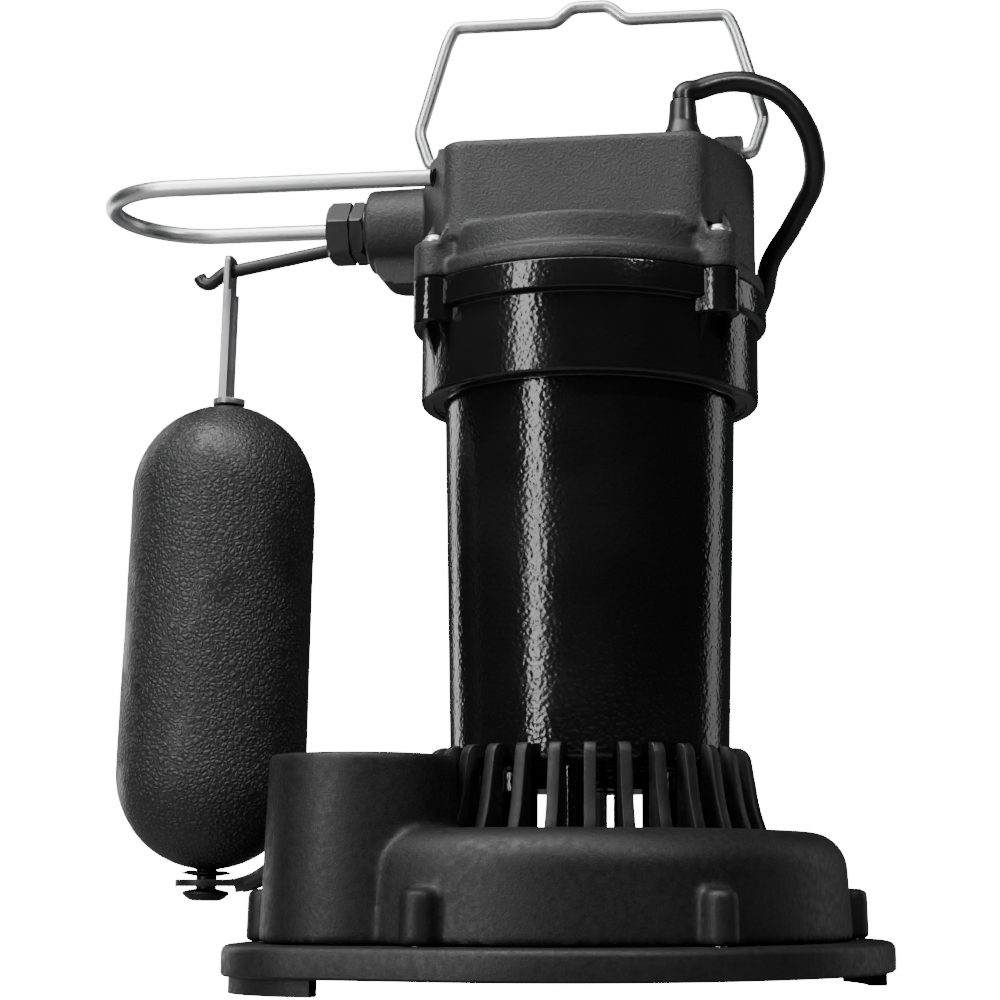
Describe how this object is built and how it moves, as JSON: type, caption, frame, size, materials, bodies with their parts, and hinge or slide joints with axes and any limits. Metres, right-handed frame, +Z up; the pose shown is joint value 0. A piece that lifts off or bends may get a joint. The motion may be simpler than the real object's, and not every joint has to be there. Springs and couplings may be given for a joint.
{
  "type": "submersible sump pump with vertical float switch",
  "caption": "Submersible sump pump: cast motor housing on a moulded volute with a side discharge port, a strainer, a vertical float on a switch lever, and a lifting bail.",
  "frame": {"origin": "middle of the pump's box, without the free cord, on the surface that its feet stand on", "axes": "+Z up along the motor shaft, +X to the side away from the float, -Y to the front where the cap has its flat panel"},
  "size_m": [0.2812, 0.3371, 0.3513],
  "materials": {
    "coated_iron": "glossy black coating on cast iron, fine orange-peel texture",
    "cast_cap": "satin black coating on cast iron",
    "moulded_black": "matte black glass-filled plastic",
    "float_black": "dark grey moulded plastic with a pebble grain",
    "black_steel": "satin black finish on steel rod and strip",
    "strap_grey": "dark grey satin finish on folded steel strip",
    "seal_rubber": "black nitrile rubber",
    "cord_jacket": "semi-gloss black thermoplastic jacket",
    "stainless": "bright stainless steel",
    "plain_steel": "plain steel",
    "bearing_steel": "ground bearing steel",
    "lamination": "stacked steel laminations",
    "copper_winding": "enamelled copper wire",
    "white_plastic": "off-white moulded plastic",
    "brass": "plain brass"
  },
  "bodies": {
    "housing": {"base_plate": "moulded_black", "volute": "moulded_black", "base_screw_1": "plain_steel", "base_screw_2": "plain_steel", "base_screw_3": "plain_steel", "base_screw_4": "plain_steel", "base_screw_5": "plain_steel", "base_screw_6": "plain_steel", "motor_housing": "coated_iron", "leg_screw_1": "plain_steel", "leg_screw_2": "plain_steel", "leg_screw_3": "plain_steel", "cap": "cast_cap", "cap_gasket": "seal_rubber", "cap_screw_1": "stainless", "cap_screw_2": "stainless", "cap_screw_3": "stainless", "cap_screw_4": "stainless", "stator_core": "lamination", "winding_upper": "copper_winding", "winding_lower": "copper_winding", "shaft_seal": "seal_rubber", "lower_bearing": "bearing_steel", "upper_bearing": "bearing_steel", "bearing_bracket": "cast_cap", "capacitor": "white_plastic", "switch_body": "moulded_black", "lever_pin": "stainless", "gland_nut": "moulded_black", "arm_pin": "stainless", "float_guard": "stainless", "cord_gland": "cord_jacket", "cord_run": "cord_jacket", "cord_coil": "cord_jacket", "coil_tie": "seal_rubber", "cord_tail": "cord_jacket", "plug_body": "cord_jacket", "plug_blade_1": "brass", "plug_blade_2": "brass", "plug_ground_pin": "brass"},
    "rotor": {"shaft": "bearing_steel", "rotor_core": "lamination", "impeller": "white_plastic", "impeller_nut": "brass"},
    "plunger": {"switch_plunger": "white_plastic"},
    "lever": {"lever": "black_steel", "lever_boot": "seal_rubber"},
    "float": {"float_hanger": "strap_grey", "float_shell": "float_black", "float_rod": "black_steel", "float_collar": "moulded_black", "float_button": "moulded_black"},
    "arm": {"float_arm": "moulded_black"},
    "bail": {"bail_handle": "stainless"}
  },
  "joints": [
    {"name": "shaft_spin", "type": "hinge", "parent": "housing", "child": "rotor", "pos_m": [0.03814, 0.00319, 0.13], "axis": [0, 0, 1], "continuous": true},
    {"name": "lever_hinge", "type": "hinge", "parent": "housing", "child": "lever", "pos_m": [-0.02436, 0.00319, 0.2664], "axis": [0, 1, 0], "range_deg": [0, 9]},
    {"name": "float_swing", "type": "hinge", "parent": "lever", "child": "float", "pos_m": [-0.09366, 0.00319, 0.25393], "axis": [0, 1, 0], "range_deg": [-8, 0]},
    {"name": "arm_hinge", "type": "hinge", "parent": "housing", "child": "arm", "pos_m": [-0.0507, 0.00319, 0.064], "axis": [0, 1, 0], "range_deg": [0, 13.5]},
    {"name": "plunger_slide", "type": "slide", "parent": "housing", "child": "plunger", "axis": [0, 0, -1], "range_m": [0, 0.0025]},
    {"name": "bail_hinge", "type": "hinge", "parent": "housing", "child": "bail", "pos_m": [0.03814, 0.00319, 0.2906], "axis": [1, 0, 0], "range_deg": [-86, 6]}
  ],
  "couplings": [
    {"joint": "float_swing", "follows": "lever_hinge", "ratio": -0.871},
    {"joint": "arm_hinge", "follows": "lever_hinge", "ratio": 1.4526},
    {"joint": "plunger_slide", "follows": "lever_hinge", "m_per_rad": 0.0139}
  ]
}
